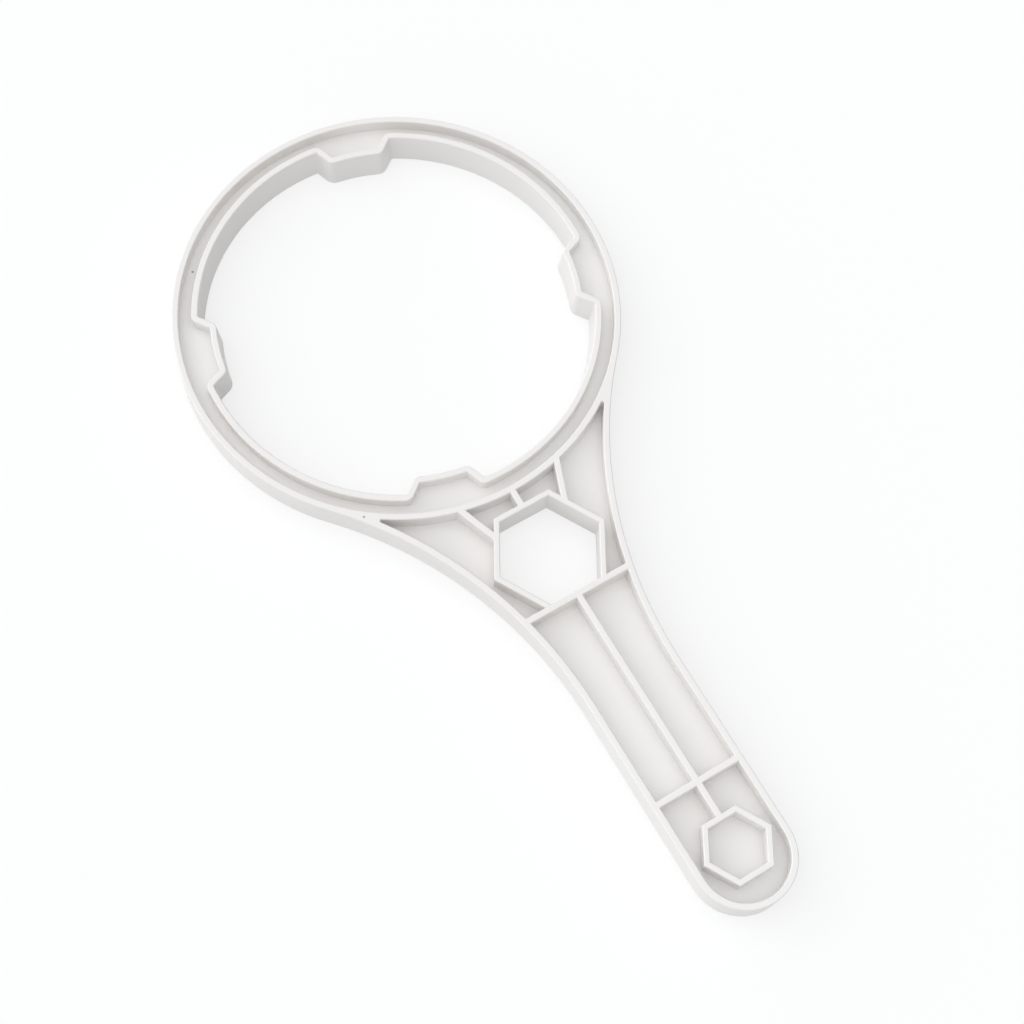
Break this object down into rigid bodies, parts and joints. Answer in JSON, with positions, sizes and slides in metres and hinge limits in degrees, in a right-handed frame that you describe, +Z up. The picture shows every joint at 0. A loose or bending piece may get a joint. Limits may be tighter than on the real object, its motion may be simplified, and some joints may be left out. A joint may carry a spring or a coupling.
{
  "type": "filter housing wrench",
  "caption": "Moulded plastic wrench with a lugged open ring for a filter housing, a swept neck with a hexagonal hole and a ribbed handle with a small hexagonal socket.",
  "frame": {"origin": "centre of the ring on the resting face", "axes": "+X along the handle from the ring to its round end, +Z up, out of the open channel's side"},
  "size_m": [0.2262, 0.112, 0.009],
  "materials": {
    "white_plastic": "satin white injection-moulded plastic"
  },
  "bodies": {
    "root": {"wrench": "white_plastic"}
  },
  "joints": []
}
